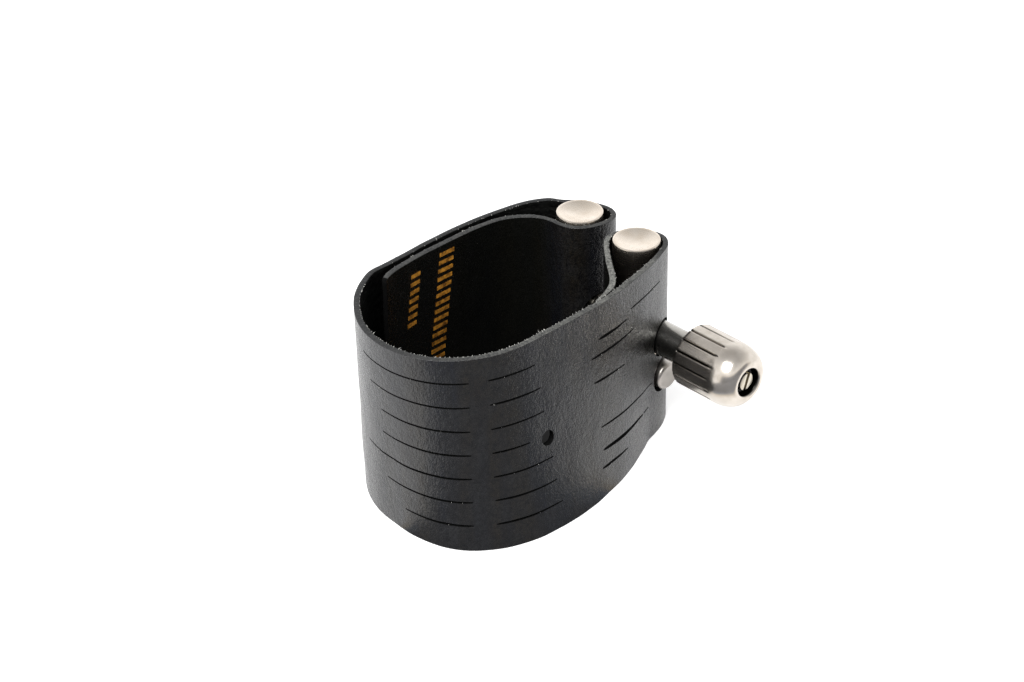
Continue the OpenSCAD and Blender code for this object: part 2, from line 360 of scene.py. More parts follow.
def knob_painted_shade(t, radius, along):
    """Painted shade in the knob's grooves, and in the recess round the stud's tip."""
    below_land = t.ramp(radius, (KNOB_R - 0.10) * MM, (KNOB_R - 0.24) * MM)
    above_bore = t.ramp(radius, (KNOB_R - 0.75) * MM, (KNOB_R - 0.60) * MM)
    before_dome = t.ramp(along, (KNOB_IN - KNOB_LEN * 0.72) * MM, (KNOB_IN - KNOB_LEN * 0.62) * MM)
    in_recess = t.ramp(radius, (RECESS_R + 0.16) * MM, (RECESS_R + 0.06) * MM)
    return t.math("MAXIMUM", t.times(t.times(below_land, above_bore), before_dome), in_recess)


def thread_painted_shade(t, radius, along):
    """Painted shade: the stud's thread goes nearly black from the near barrel's front inward, but not its
    tip.
    """
    return t.times(t.ramp(along, (NEAR[1] - BARREL_R - 1) * MM, (NEAR[1] - BARREL_R) * MM), 0.93)


COAT = coat_material()
LINING = lining_material()
RIM = rim_material()
CUT = cut_material()
THREADS = thread_material()
BARREL_LOOK = (0.80, 0.72, 0.63), (0.70, 0.61, 0.51), 0.24, "Z"
SCREW_AXIS, PIN_AXIS = (SCREW_X, 0, SCREW_Z), (SCREW_X, 0, PIN_Z)
NICKEL_NEAR = metal_material("nickel_near_barrel", *BARREL_LOOK, (*NEAR, 0), 9000.0, 0.0015)
NICKEL_FAR = metal_material("nickel_far_barrel", *BARREL_LOOK, (*FAR, 0), 9000.0, 0.0015)
NICKEL_KNOB = metal_material("nickel_knob", (0.66, 0.61, 0.55), (0.54, 0.49, 0.43), 0.21, "Y",
                             SCREW_AXIS, 7000.0, 0.003, knob_painted_shade)
NICKEL_SLEEVE = metal_material("nickel_sleeve", (0.46, 0.45, 0.42), (0.36, 0.34, 0.31), 0.22, "Y",
                               SCREW_AXIS, 5000.0, 0.001)
STEEL_STUD = metal_material("steel_stud", (0.66, 0.62, 0.53), (0.54, 0.49, 0.40), 0.30, "Y",
                            SCREW_AXIS, 9000.0, 0.004, thread_painted_shade)
STEEL_PIN = metal_material("steel_pin", (0.40, 0.37, 0.345), (0.33, 0.31, 0.285), 0.36, "Y",
                           PIN_AXIS, 9000.0, 0.004)
SHADE_RING = shade_ring_material()
ORANGE = print_material()


# ---- The strap's path: the middle of the strap at its upper rim ----
def ring(centre, radius, first, last, count):
    """Points on an arc, by angle in degrees."""
    return [(centre[0] + radius * math.cos(a), centre[1] + radius * math.sin(a))
            for a in np.radians(np.linspace(first, last, count))]


BEND_R = 12.5        # radius of the round bend at the hinge


def bend_radius(angle):
    """Radius of the round bend. Angle is 0 at the hinge, and grows towards the knob-side wall."""
    s = math.sin(angle)
    return BEND_R - 1.4 * s * s if angle > 0 else BEND_R + 1.35 * s ** 4


def bend(first, last, count):
    return [(-bend_radius(a) * math.cos(a), -bend_radius(a) * math.sin(a))
            for a in np.radians(np.linspace(first, last, count))]


# The end bonded behind the knob-side wall, which runs across to the near barrel
NEAR_RETURN = [(11.4, -10.65), (12.6, -10.42), (13.9, -10.05), (15.1, -9.55), (16.2, -8.7), (17.2, -7.6),
               (18.4, -6.05), (20.1, -3.9), (21.7, -2.15), (23.1, -1.1)]
NEAR_LOOP = ring((NEAR[0] - 0.28, NEAR[1] - 0.12), 3.72, 96, -78, 10)
KNOB_WALL = [(24.0, -8.68), (22.0, -9.25), (20.0, -9.75), (18.0, -10.18), (16.0, -10.58), (14.0, -10.9),
             (11.5, -11.1), (8.0, -11.22), (4.0, -11.22), (1.5, -11.16)]
BEND = bend(90, -68, 24)
FAR_WALL = [(-3.0, 13.5), (-1.0, 13.6), (3.0, 13.75), (7.0, 13.87), (12.0, 13.9), (15.0, 13.7),
            (18.0, 13.28), (21.0, 12.65), (23.6, 11.5), (25.5, 10.05)]
FAR_LOOP = [(26.9, 8.45), (27.95, 7.0), (28.3, 5.3), (28.25, 4.0), (27.95, 2.8), (27.3, 1.95), (26.3, 1.62),
            (25.2, 1.68), (23.9, 2.05), (22.4, 2.85), (21.45, 4.1), (21.15, 5.6), (21.1, 7.0)]
FAR_RETURN = [(20.7, 8.3), (19.9, 9.6), (18.5, 10.8), (16.7, 11.65), (14.2, 12.15), (11.0, 12.35),
              (5.0, 12.4), (1.0, 12.2), (-1.0, 11.95), (-2.3, 11.55), (-3.2, 10.95)]

PATH_STEP = 0.1      # distance between the path's samples
PATH_BLUR = 0.55     # how widely the path is smoothed


def spline(points):
    """A Catmull-Rom curve through the points, resampled evenly and smoothed."""
    p = np.array(points, float)
    p = np.vstack([2 * p[0] - p[1], p, 2 * p[-1] - p[-2]])
    t = np.linspace(0, 1, 24, endpoint=False)[:, None]
    curve = [0.5 * (2 * b + (c - a) * t + (2 * a - 5 * b + 4 * c - d) * t ** 2 +
                    (3 * b - a - 3 * c + d) * t ** 3)
             for a, b, c, d in zip(p, p[1:], p[2:], p[3:])]
    curve = np.vstack(curve + [p[-2:-1]])
    return resample(blur(resample(curve)))


def path_lengths(curve):
    """Distance along a curve to each of its points."""
    return np.concatenate([[0], np.cumsum(np.linalg.norm(np.diff(curve, axis=0), axis=1))])


def resample(curve):
    length = path_lengths(curve)
    s = np.linspace(0, length[-1], int(length[-1] / PATH_STEP) + 1)
    return np.column_stack([np.interp(s, length, curve[:, k]) for k in (0, 1)])


def blur(curve):
    reach = int(3 * PATH_BLUR / PATH_STEP)
    kernel = np.exp(-0.5 * (np.arange(-reach, reach + 1) * PATH_STEP / PATH_BLUR) ** 2)
    kernel /= kernel.sum()
    ends = 2 * curve[:1] - curve[reach:0:-1], 2 * curve[-1:] - curve[-2:-reach - 2:-1]
    padded = np.vstack([ends[0], curve, ends[1]])
    return np.column_stack([np.convolve(padded[:, k], kernel, "valid") for k in (0, 1)])


PATH = spline(NEAR_RETURN + NEAR_LOOP + KNOB_WALL + BEND + FAR_WALL + FAR_LOOP + FAR_RETURN)
PATH_S = path_lengths(PATH)
STRIP_L = PATH_S[-1]
TANGENT = np.gradient(PATH, PATH_S, axis=0)
TANGENT /= np.linalg.norm(TANGENT, axis=1)[:, None]
OUTWARD = np.column_stack([-TANGENT[:, 1], TANGENT[:, 0]])


def nearest_s(x, y):
    """Distance along the strip at its nearest place to a point."""
    return PATH_S[np.argmin(np.hypot(PATH[:, 0] - x, PATH[:, 1] - y))]


HINGE_S = nearest_s(-BEND_R, HINGE_Y)
LOOP_S = nearest_s(SCREW_X, NEAR[1] - 4)
RETURN_END_S = nearest_s(NEAR[0] - 1, NEAR[1] + 3.6)
FAR_LOOP_S = PATH_S[np.argmax(PATH[:, 0] * (PATH[:, 1] > HINGE_Y))]
BEND_END = BEND_R * math.pi / 2      # distance round the bend, from the hinge to the straight wall


def wall_distance(side):
    """Distance from the seat's left side along the knob-side wall (side -1) or the far one (side 1)."""
    x, y = PATH.T
    return np.where(x < 0, BEND_R * np.arctan2(side * y, -x), BEND_END + x)


WALL_D = wall_distance(-1)
ON_WALL = (PATH_S > LOOP_S) & (PATH_S < HINGE_S + 12)


def flare_samples():
    """How far the lower rim stands out from the upper one, as a vector for each sample."""
    x, y = PATH.T
    knob_side = y < HINGE_Y
    d = (WALL_D + np.sqrt(WALL_D ** 2 + 4)) / 2
    front = 3.8 * np.sin(np.pi * (np.clip(d, 0, 42) / 42) ** 0.95) * smooth(WALL_D, -6, 10)
    front = front - 0.45 * smooth(WALL_D, -13, -5) * (1 - smooth(WALL_D, -5, 3))
    by_loop = 0.4 * smooth(x, 19, 22) * (1 - smooth(x, 24.5, 27)) * (y < -6)
    front = np.maximum(front, by_loop) * (1 - smooth(y, -8.0, -2.5) * (x > 0))
    back_d = wall_distance(1)
    back = smooth(back_d, 11, 24) * (1 - smooth(back_d, 30, 42)) * np.where(x > 0, smooth(y, 5, 11), 1)
    reach = np.where(knob_side, front, back)
    straight = np.column_stack([np.zeros(len(x)), np.where(knob_side, -1.0, 1.0)])
    radial = PATH / np.linalg.norm(PATH, axis=1)[:, None]
    flare = np.where((x < 0)[:, None], radial, straight) * reach[:, None]
    kernel = np.ones(15) / 15
    return np.column_stack([np.convolve(np.pad(flare[:, k], 7, "edge"), kernel, "valid") for k in (0, 1)])


FLARE = flare_samples()


def thickness_samples():
    """0.76 mm on the walls, thinner round the barrels, pared towards the bonded ends."""
    near = np.linalg.norm(PATH - NEAR, axis=1)
    far = np.linalg.norm(PATH - FAR, axis=1)
    t = 0.66 + 0.10 * smooth(np.minimum(near, far), 4.0, 6.0)
    t *= 0.45 + 0.55 * smooth(PATH_S, 0, 4)
    return t * (0.75 + 0.25 * smooth(STRIP_L - PATH_S, 0, 2))


THICK = thickness_samples()


def rim_dip_samples():
    """The rim sits a little lower behind each barrel."""
    dip = np.zeros(len(PATH))
    for centre in (NEAR, FAR):
        away = PATH - centre
        distance = np.linalg.norm(away, axis=1)
        behind = away @ np.array([0.66, 0.75]) / distance
        dip = np.maximum(dip, 0.32 * smooth(behind, 0.1, 0.9) * (1 - smooth(distance, 4.2, 5.5)))
    return dip


RIM_DIP = rim_dip_samples()


def along(table, s):
    """A sampled quantity at any distance s along the strip."""
    if table.ndim == 1:
        return np.interp(s, PATH_S, table)
    return np.column_stack([np.interp(s, PATH_S, table[:, k]) for k in range(table.shape[1])])


def undulation(s, z):
    """Gentle waves in the strap, in mm."""
    return np.array([0.10 * noise.noise((a * 0.13, b * 0.10, 3.7)) +
                     0.05 * noise.noise((a * 0.4, b * 0.3, 9.1)) for a, b in zip(s, z)])


def place(s, z, w):
    """Points of the strap: s along it, z up it, w from -1 (lining) to 1 (coat)."""
    s, z, w = (np.asarray(q, float) for q in (s, z, w))
    lift = 1 - z / BAND_H
    out = along(OUTWARD, s)
    bend_only = smooth(np.minimum(np.linalg.norm(along(PATH, s) - NEAR, axis=1),
                                  np.linalg.norm(along(PATH, s) - FAR, axis=1)), 4.5, 7)
    push = w * along(THICK, s) / 2 + undulation(s, z) * bend_only
    xy = along(PATH, s) + along(FLARE, s) * lift[:, None] + out * push[:, None]
    return np.column_stack([xy, z * (1 - along(RIM_DIP, s) / BAND_H)])


# ---- Holes in the flat strip, as closed outlines in (s, z) ----
def wall_s(d):
    """Distance along the strip, for a distance along the knob-side wall from the seat's left side."""
    order = np.argsort(WALL_D[ON_WALL])
    return np.interp(d, WALL_D[ON_WALL][order], PATH_S[ON_WALL][order])


def slit_outline(cut_place, tip=0.075):
    """A knife cut along the wall: tapered at one end, and blunt at the end where the knife went in."""
    d0, d1, z0, z1, opened, blunt_at_end = cut_place
    count = max(8, int((d1 - d0) / 0.35))
    k = np.linspace(0, 1, count + 1)
    from_taper = k if blunt_at_end else 1 - k
    half = tip + max(opened / 2 + 0.05 - tip, 0) * np.sin(np.pi * from_taper ** 2) ** 0.4
    s, z = wall_s(d0 + (d1 - d0) * k), z0 + (z1 - z0) * k
    if s[0] > s[-1]:
        s, z, half = s[::-1], z[::-1], half[::-1]
    lower, upper = list(zip(s, z - half)), list(zip(s, z + half))
    return lower + [(s[-1] + tip * 0.8, z[-1])] + upper[::-1] + [(s[0] - tip * 0.8, z[0])]


def round_outline(s_mid, z, radius, count=40, squeeze=1.0):
    """A hole cut straight along Y through the strap where it may curve round a barrel."""
    near_here = np.abs(PATH_S - s_mid) < 4.5
    x_here, s_here = PATH[near_here, 0], PATH_S[near_here]
    turning = np.gradient(x_here)
    keep = np.sign(turning) == np.sign(turning[np.argmin(np.abs(s_here - s_mid))])
    order = np.argsort(x_here[keep])
    x_mid = np.interp(s_mid, PATH_S, PATH[:, 0])
    angles = np.linspace(0, 2 * np.pi, count, endpoint=False)
    s = np.interp(x_mid + radius * squeeze * np.cos(angles), x_here[keep][order], s_here[keep][order])
    outline = list(zip(s, z + radius * np.sin(angles)))
    area = sum(a[0] * b[1] - b[0] * a[1] for a, b in zip(outline, outline[1:] + outline[:1]))
    return outline if area > 0 else outline[::-1]


def s_where(x, y_low, y_high):
    """Distance along the strip where it crosses a given x, between two values of y."""
    ok = (PATH[:, 1] > y_low) & (PATH[:, 1] < y_high)
    return PATH_S[ok][np.argmin(np.abs(PATH[ok, 0] - x))]


CUT_PITCH = 3.15
CUT_TOP = BAND_H / 2 + 3 * CUT_PITCH + 0.2
BEND_CUT_END, MIDDLE_CUT_START = 10.6, 13.0
# Row by row from the top: where the cut round the bend starts, how far it stands open, where the
# middle cut ends, and how far that one stands open. Places are distances along the wall.
ROWS = [(-4.5, 0.13, 19.5, 0.15), (-3.0, 0.13, 20.0, 0.17), (-1.0, 0.16, 20.0, 0.13),
        (-1.0, 0.17, 17.5, 0.16), (-4.5, 0.18, 20.5, 0.15), (-0.5, 0.17, 20.5, 0.17), (2.5, 0.20, 21.0, 0.20)]
# The cuts before the near barrel don't keep to the rows: start, end, height at each, and opening
BARREL_CUTS = [(36.5, 43.5, 21.9, 21.9, 0.14), (30.0, 35.5, 21.0, 21.0, 0.30),
               (28.5, 37.0, 19.0, 18.9, 0.22), (28.5, 34.5, 15.8, 15.3, 0.20), (29.0, 41.5, 9.5, 8.2, 0.16),
               (29.0, 40.5, 6.3, 5.2, 0.42), (28.5, 34.5, 4.0, 3.5, 0.28)]


def cuts():
    """Every knife cut as start, end, height at each, opening, and whether its far end is the blunt one."""
    found = []
    for row, (start, open_bend, end, open_middle) in enumerate(ROWS):
        z = CUT_TOP - row * CUT_PITCH
        found.append((start, BEND_CUT_END, z, z, open_bend, True))
        found.append((MIDDLE_CUT_START, end, z, z, open_middle, False))
    return found + [barrel_cut + (False,) for barrel_cut in BARREL_CUTS]


VENT_D, VENT_Z, VENT_R = BEND_END + 0.5, BAND_H / 2 - 0.3, 1.0
SLEEVE_HOLE_R, STUD_HOLE_R, PIN_HOLE_R = 2.42, 2.2, 2.4


def holes():
    found = [slit_outline(cut_place) for cut_place in cuts()]
    found.append(round_outline(wall_s(VENT_D), VENT_Z, VENT_R, 28, 0.9))
    outer_s = s_where(SCREW_X, NEAR[1] - 6, NEAR[1] - 2)
    inner_s = s_where(SCREW_X, NEAR[1] + 2, HINGE_Y - 0.2)
    far_s = s_where(SCREW_X, HINGE_Y, FAR[1] - 2)
    for s, screw_hole in ((outer_s, SLEEVE_HOLE_R), (inner_s, STUD_HOLE_R), (far_s, STUD_HOLE_R)):
        found.append(round_outline(s, SCREW_Z, screw_hole))
    for s in (outer_s, inner_s, far_s):
        found.append(round_outline(s, PIN_Z, PIN_HOLE_R))
    return found


# ---- The strap as one mesh ----
EDGE = 0.1            # rounding of the strap's rims
HOLE_EDGE = 0.03      # rounding of the cuts
GRID_S, GRID_Z = 0.42, 0.85
RIM_STEP = 0.18


def rim_outline():
    """The strip's own outline, finely sampled along both rims."""
    n = int(STRIP_L / RIM_STEP)
    m = 40
    s = np.linspace(EDGE, STRIP_L - EDGE, n + 1)
    z = np.linspace(EDGE, BAND_H - EDGE, m + 1)
    bottom = [(a, EDGE) for a in s[:-1]]
    right = [(STRIP_L - EDGE, b) for b in z[:-1]]
    top = [(a, BAND_H - EDGE) for a in s[:0:-1]]
    left = [(EDGE, b) for b in z[:0:-1]]
    return bottom + right + top + left


def grid_points(outlines):
    """A regular grid inside the strip, away from every outline."""
    s = np.arange(GRID_S, STRIP_L - GRID_S / 2, GRID_S)
    z = np.linspace(0, BAND_H, int(BAND_H / GRID_Z) + 1)[1:-1]
    z = np.concatenate([[0.35], z, [BAND_H - 0.35]])
    grid = np.array([(a, b) for a in s for b in z])
    keep = np.ones(len(grid), bool)
    margin = 0.3
    for outline in outlines:
        o = np.array(outline)
        centre, half = (o.max(0) + o.min(0)) / 2, (o.max(0) - o.min(0)) / 2
        close = np.where(np.all(np.abs(grid - centre) < half + margin, axis=1))[0]
        away = grid[close] - centre
        gap = np.array([np.min(np.hypot(*(o - g).T)) for g in grid[close]])
        is_cut = half[1] < margin
        inside = np.abs(away[:, 1]) < half[1] + 0.18 if is_cut else np.sum((away / half) ** 2, axis=1) < 1
        keep[close[inside | (gap < 0.16)]] = False
    return [tuple(g) for g in grid[keep]]


COAT_FACE, LINING_FACE, RIM_FACE, CUT_FACE = range(4)     # places in the strap's list of materials


def build_strap():
    """Two triangulated skins, joined by rounded rings along the rim and round every hole."""
    inner = holes()
    points, loops, edges = [], [], []
    for outline in [rim_outline()] + inner:
        ids = list(range(len(points), len(points) + len(outline)))
        points += outline
        loops.append(ids)
        edges += list(zip(ids, ids[1:] + ids[:1]))
    points += grid_points(inner)
    verts2, _, tris, origins, *_ = delaunay_2d_cdt([Vector(p) for p in points], edges, [], 1, 1e-7)
    new_id = {old: new for new, olds in enumerate(origins) for old in olds}
    hole_of = {new_id[i]: k for k, ids in enumerate(loops[1:]) for i in ids}
    kept = [t for t in tris if len({hole_of.get(i, -1 - i) for i in t}) > 1]
    s, z = np.array([tuple(v) for v in verts2]).T
    n = len(s)
    coords = [place(s, z, np.ones(n)), place(s, z, -np.ones(n))]
    uvs = [np.column_stack([s, z])] * 2
    faces = [tuple(t[::-1]) for t in kept] + [tuple(i + n for i in t) for t in kept]
    kinds = [COAT_FACE] * len(kept) + [LINING_FACE] * len(kept)
    total = 2 * n
    for k, ids in enumerate(loops):
        here = [new_id[i] for i in ids]
        ring_faces, ring_coords, ring_uvs = edge_rings(here, s, z, n, total, k == 0)
        faces += ring_faces
        kinds += rim_kinds(s[here]) if k == 0 else [CUT_FACE] * len(ring_faces)
        coords.append(ring_coords)
        uvs.append(ring_uvs)
        total += len(ring_coords)
    return np.vstack(coords), faces, kinds, np.vstack(uvs)


def rim_kinds(s):
    """Materials of the rim's bands, from the coat's side to the lining's. The strap's inner end gets the dark
    cut material: painted shade on an edge that catches light.
    """
    bands = [COAT_FACE] * 2 + [RIM_FACE] * 5 + [LINING_FACE] * 2
    return [CUT_FACE if band == RIM_FACE and at > STRIP_L - 0.3 else band for band in bands for at in s]


def edge_rings(ids, s, z, n, first, is_rim):
    """Rounded bridge between the coat's edge and the lining's edge along one closed outline."""
    os, oz = s[ids], z[ids]
    ds = np.roll(os, -1) - np.roll(os, 1)
    dz = np.roll(oz, -1) - np.roll(oz, 1)
    length = np.hypot(ds, dz)
    side_s, side_z = dz / length, -ds / length          # away from the strap's material
    if not is_rim:
        side_s, side_z = -side_s, -side_z
    bulge = EDGE if is_rim else HOLE_EDGE
    frayed = 0.09 * fray(os, oz) * (oz > BAND_H / 2) if is_rim else 0
    angles = np.radians([0, 18, 45, 75, 105, 135, 162, 180])
    rows, row_uvs = [], []
    for a in angles:
        reach = bulge * max(math.sin(a), 0.12) + frayed * math.sin(a) * (1 - 0.8 * math.cos(a)) / 1.3
        rows.append(place(os + side_s * reach, oz + side_z * reach, np.full(len(os), math.cos(a))))
        across = 0.4 * (1 - math.cos(a))
        row_uvs.append(np.column_stack([os + side_s * across, oz + side_z * across]))
    count = len(ids)
    levels = [np.array(ids)] + [first + j * count + np.arange(count) for j in range(len(angles))]
    levels.append(np.array(ids) + n)
    faces = []
    for low, high in zip(levels, levels[1:]):
        for i in range(count):
            j = (i + 1) % count
            quad = (low[i], low[j], high[j], high[i]) if is_rim else (low[i], high[i], high[j], low[j])
            faces.append(tuple(int(q) for q in quad))
    return faces, np.vstack(rows), np.vstack(row_uvs)


def fray(s, z):
    """Height of the cut thread ends along the rims, from 0 to about 1."""
    heights = []
    for a, b in zip(s, z):
        yarn = math.sin(2 * math.pi * (a / 0.55 + 0.6 * noise.noise((a * 0.7, b, 2.0))))
        heights.append(max(0.0, 0.35 + 0.4 * yarn + 0.9 * noise.noise((a * 2.3, b, 5.0))))
    return np.array(heights)


def rim_wear_and_highlight(s):
    """How light the rim is along the strap: the near return most, the far wall least. Partly the worn edge's
    own grey fibres, partly a painted highlight along the knob-side wall.
    """
    places = [RETURN_END_S - 1, RETURN_END_S + 1, LOOP_S, LOOP_S + 3, wall_s(18), wall_s(6), HINGE_S + 8,
              FAR_LOOP_S, FAR_LOOP_S + 4]
    return np.interp(s, places, [0.95, 0.12, 0.12, 0.55, 0.50, 0.12, 0.06, 0.06, 0.20])


def painted_shade_share(coords, s):
    """Painted shade: a dark, dull patch on the coat beside and under the sleeve, standing in for the knob's
    and sleeve's shadow and dark reflection, and the inner plies, which face the reed, darkened and dulled.
    """
    x, y, z = coords.T
    inner = np.maximum(1 - smooth(s, RETURN_END_S - 1, RETURN_END_S + 1),
                       smooth(s, FAR_LOOP_S + 10, FAR_LOOP_S + 15))
    core = 1 - smooth(np.hypot((x - SCREW_X + 2.6) / 5.2, (z - SCREW_Z + 0.6) / 4.3), 0.55, 1.1)
    halo = 1 - smooth(np.hypot((x - SCREW_X + 5.5) / 6.5, (z - SCREW_Z - 0.4) / 5.2), 0.35, 1.05)
    return np.maximum(np.maximum(core, 0.72 * halo) * (y < NEAR[1]), 0.85 * inner)


coords, faces, kinds, uvs = build_strap()
strap = new_piece("strap", coords, faces, [COAT, LINING, RIM, CUT], material_ids=kinds)
layer = strap.data.uv_layers.new(name=STRIP_UV)
corner_verts = np.zeros(len(strap.data.loops), int)
strap.data.loops.foreach_get("vertex_index", corner_verts)
layer.data.foreach_set("uv", uvs[corner_verts].ravel())
mark(strap.data, "wear_and_highlight", rim_wear_and_highlight(uvs[:, 0]))
# Painted shade beside the sleeve and on the inner plies, read by the coat's material.
mark(strap.data, "stain_and_painted_shade", painted_shade_share(coords, uvs[:, 0]))
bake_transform(strap)
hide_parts("strap_front", "strap_back")


# ---- Loose thread ends on the rims and in the cuts, and the print inside ----
def thread_end(root, direction, length, radius, bend_to):
    """A short tapering fibre: five-sided rings along a bent line, and a point."""
    axis = Vector(direction).normalized()
    side = axis.orthogonal().normalized()
    verts, faces = [], []
    for t, r in ((0, 1.0), (0.4, 0.9), (0.75, 0.6)):
        centre = Vector(root) + axis * length * t + Vector(bend_to) * length * t * t
        for k in range(5):
            verts.append(centre + Matrix.Rotation(k * 2 * math.pi / 5, 3, axis) @ side * radius * r)
    verts.append(Vector(root) + axis * length + Vector(bend_to) * length)
    for j in (0, 1):
        faces += [(5 * j + k, 5 * j + (k + 1) % 5, 5 * j + 5 + (k + 1) % 5, 5 * j + 5 + k) for k in range(5)]
    faces += [(10 + k, 10 + (k + 1) % 5, 15) for k in range(5)] + [(4, 3, 2, 1, 0)]
    return verts, faces


def gather(parts):
    """Joins many small meshes into one list of points and faces."""
    verts, faces = [], []
    for v, f in parts:
        first = len(verts)
        verts += [tuple(q) for q in v]
        faces += [tuple(i + first for i in face) for face in f]
    return verts, faces


CLEAN_END = 4.0      # the rim is clean where the bonded end is pared down


def build_threads():
    """Cut yarn ends stand up from the upper rim's inner edge at the weave's pitch; a few stray."""
    rng = np.random.default_rng(7)
    pitch = 0.3
    s = np.arange(CLEAN_END, STRIP_L - 3, pitch)
    s = s + rng.uniform(-0.16, 0.16, len(s))
    worn = np.where((s > LOOP_S + 3) & (s < HINGE_S + 14), 0.85, 0.2)
    s = s[rng.random(len(s)) < worn]
    w = rng.uniform(-0.98, -0.72, len(s))
    roots = place(s, np.full(len(s), BAND_H - 0.10), w)
    out = along(OUTWARD, s)
    parts = []
    for root, o in zip(roots, out):
        stray = rng.random() < 0.04
        length = rng.uniform(0.3, 0.5) if stray else rng.uniform(0.11, 0.22)
        lean = rng.uniform(-1.1, -0.1)
        direction = (o[0] * lean + rng.uniform(-0.3, 0.3), o[1] * lean + rng.uniform(-0.3, 0.3), 1.0)
        sag = (rng.uniform(-0.5, 0.5), rng.uniform(-0.5, 0.5), rng.uniform(-0.5, 0.1))
        parts.append(thread_end(root, direction, length, rng.uniform(0.04, 0.075), sag))
    for d0, d1, z0, z1, opened, _ in cuts():
        for share in rng.uniform(0.05, 0.95, 2):
            if rng.random() < 0.5:
                d, z = d0 + (d1 - d0) * share, z0 + (z1 - z0) * share
                at = place([wall_s(d)], [z - opened / 2], [0.95])[0]
                normal = along(OUTWARD, [wall_s(d)])[0]
                parts.append(thread_end(at, (normal[0], normal[1], rng.uniform(-0.2, 0.9)),
                                        rng.uniform(0.1, 0.2), rng.uniform(0.02, 0.04),
                                        (rng.uniform(-0.7, 0.7), 0, 0.4)))
    verts, faces = gather(parts)
    piece = new_piece("thread_ends", verts, faces, [THREADS])
    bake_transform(piece)


def printed_bar(s_mid, z_mid, width, height):
    """A thin printed bar on the coat, which follows the strap's curve."""
    n = max(2, int(width / 0.4) + 1)
    s = np.linspace(s_mid - width / 2, s_mid + width / 2, n)
    skin = 1 + 0.06 / THICK.max()
    corners = ((-1, skin), (1, skin), (1, 0.98), (-1, 0.98))
    verts = np.vstack([place(s, np.full(n, z_mid + side * height / 2), np.full(n, w)) for side, w in corners])
    faces = [(0, 3 * n, 2 * n, n), (n - 1, 2 * n - 1, 3 * n - 1, 4 * n - 1)]
    for a, b in ((0, 1), (1, 2), (2, 3), (3, 0)):
        faces += [(a * n + k, b * n + k, b * n + k + 1, a * n + k + 1) for k in range(n - 1)]
    return verts, faces


def build_print():
    """Two plain columns of equal orange dashes on the strap's inner end."""
    inner = PATH_S > FAR_LOOP_S + 12
    slant = 0.12
    parts = []
    for x, top, low, width in ((9.3, 24.0, 6.5, 2.4), (3.6, 23.0, 15.5, 1.6)):
        s_mid = np.interp(-x, -PATH[inner, 0], PATH_S[inner])
        for z in np.arange(top, low, -1.15):
            parts.append(printed_bar(s_mid + width / 2 + slant * (top - z), z, width, 0.55))
    verts, faces = gather(parts)
    piece = new_piece("print_marks", verts, faces, [ORANGE], "back_band")
    sharpen(piece, 40)


build_threads()
build_print()


# ---- Turned pieces ----
def lathe(profile, segments, closed=False, shape=None):
    """Vertices and faces of a turned solid about +Z. profile is (height, radius) in order, from
    the axis to the axis, or a closed ring. shape(height, angle) is taken off the radius."""
    verts, rows = [], []
    for h, r in profile:
        if r <= 0:
            rows.append([len(verts)])
            verts.append((0.0, 0.0, h))
            continue
        row = []
        for k in range(segments):
            a = 2 * math.pi * k / segments
            q = r - (shape(h, a, r) if shape else 0)
            row.append(len(verts))
            verts.append((q * math.cos(a), q * math.sin(a), h))
        rows.append(row)
    faces = []
    pairs = list(zip(rows, rows[1:] + rows[:1])) if closed else list(zip(rows, rows[1:]))
    for low, high in pairs:
        for k in range(segments):
            j = (k + 1) % segments
            if len(low) == 1:
                faces.append((low[0], high[j], high[k]))
            elif len(high) == 1:
                faces.append((low[k], low[j], high[0]))
            else:
                faces.append((low[k], low[j], high[j], high[k]))
    return np.array(verts), faces


def turned(name, profile, segments, y, z, materials, slot="barrel_metal", closed=False, shape=None):
    """A piece turned about an axis that runs along -Y from y, at the screw's x and at height z."""
    verts, faces = lathe(profile, segments, closed, shape)
    verts = np.column_stack([SCREW_X + verts[:, 0], y - verts[:, 2], z + verts[:, 1]])
    return new_piece(name, verts, faces, materials)


def bore(radius, y0, y1, z):
    """A cutter from y0 to y1."""
    return turned("cutter", [(0, 0), (0, radius), (y1 - y0, radius), (y1 - y0, 0)], 64, y1, z, [])


def build_barrel(cad_name, centre, body, material, pin_bore_end):
    """A turned barrel with dished ends, an eased edge and two cross bores."""
    dish_depth, flat_rim = 0.42, 0.28
    dish = [(dish_depth * (1 - (1 - t) ** 2), BARREL_R - flat_rim - (BARREL_R - flat_rim) * t)
            for t in np.linspace(0, 1, 14)]
    top = [(BARREL_TOP - d, r) for d, r in dish]
    low = [(BARREL_LOW + d, r) for d, r in dish]
    edge = 0.14
    side = [(BARREL_LOW, BARREL_R - edge), (BARREL_LOW + edge * 0.3, BARREL_R - edge * 0.3),
            (BARREL_LOW + edge, BARREL_R)]
    flank = [(h, BARREL_R) for h in np.linspace(BARREL_LOW + edge, BARREL_TOP - edge, 20)[1:-1]]
    side_top = [(BARREL_LOW + BARREL_TOP - h, r) for h, r in side[::-1]]
    verts, faces = lathe(low[::-1] + side + flank + side_top + top, 96)
    piece = new_piece(cad_name + "_turned", verts + [*centre, 0], faces, [material])
    cut(piece, [bore(STUD_R + 0.07, centre[1] - 5, centre[1] + 5, SCREW_Z),
                bore(PIN_R + 0.07, centre[1] - 5, centre[1] + pin_bore_end, PIN_Z)])
    stand_in(piece, cad_name, body, 32)


build_barrel("near_barrel", NEAR, "near_roller", NICKEL_NEAR, 5)
build_barrel("far_barrel", FAR, "far_roller", NICKEL_FAR, 2.4)


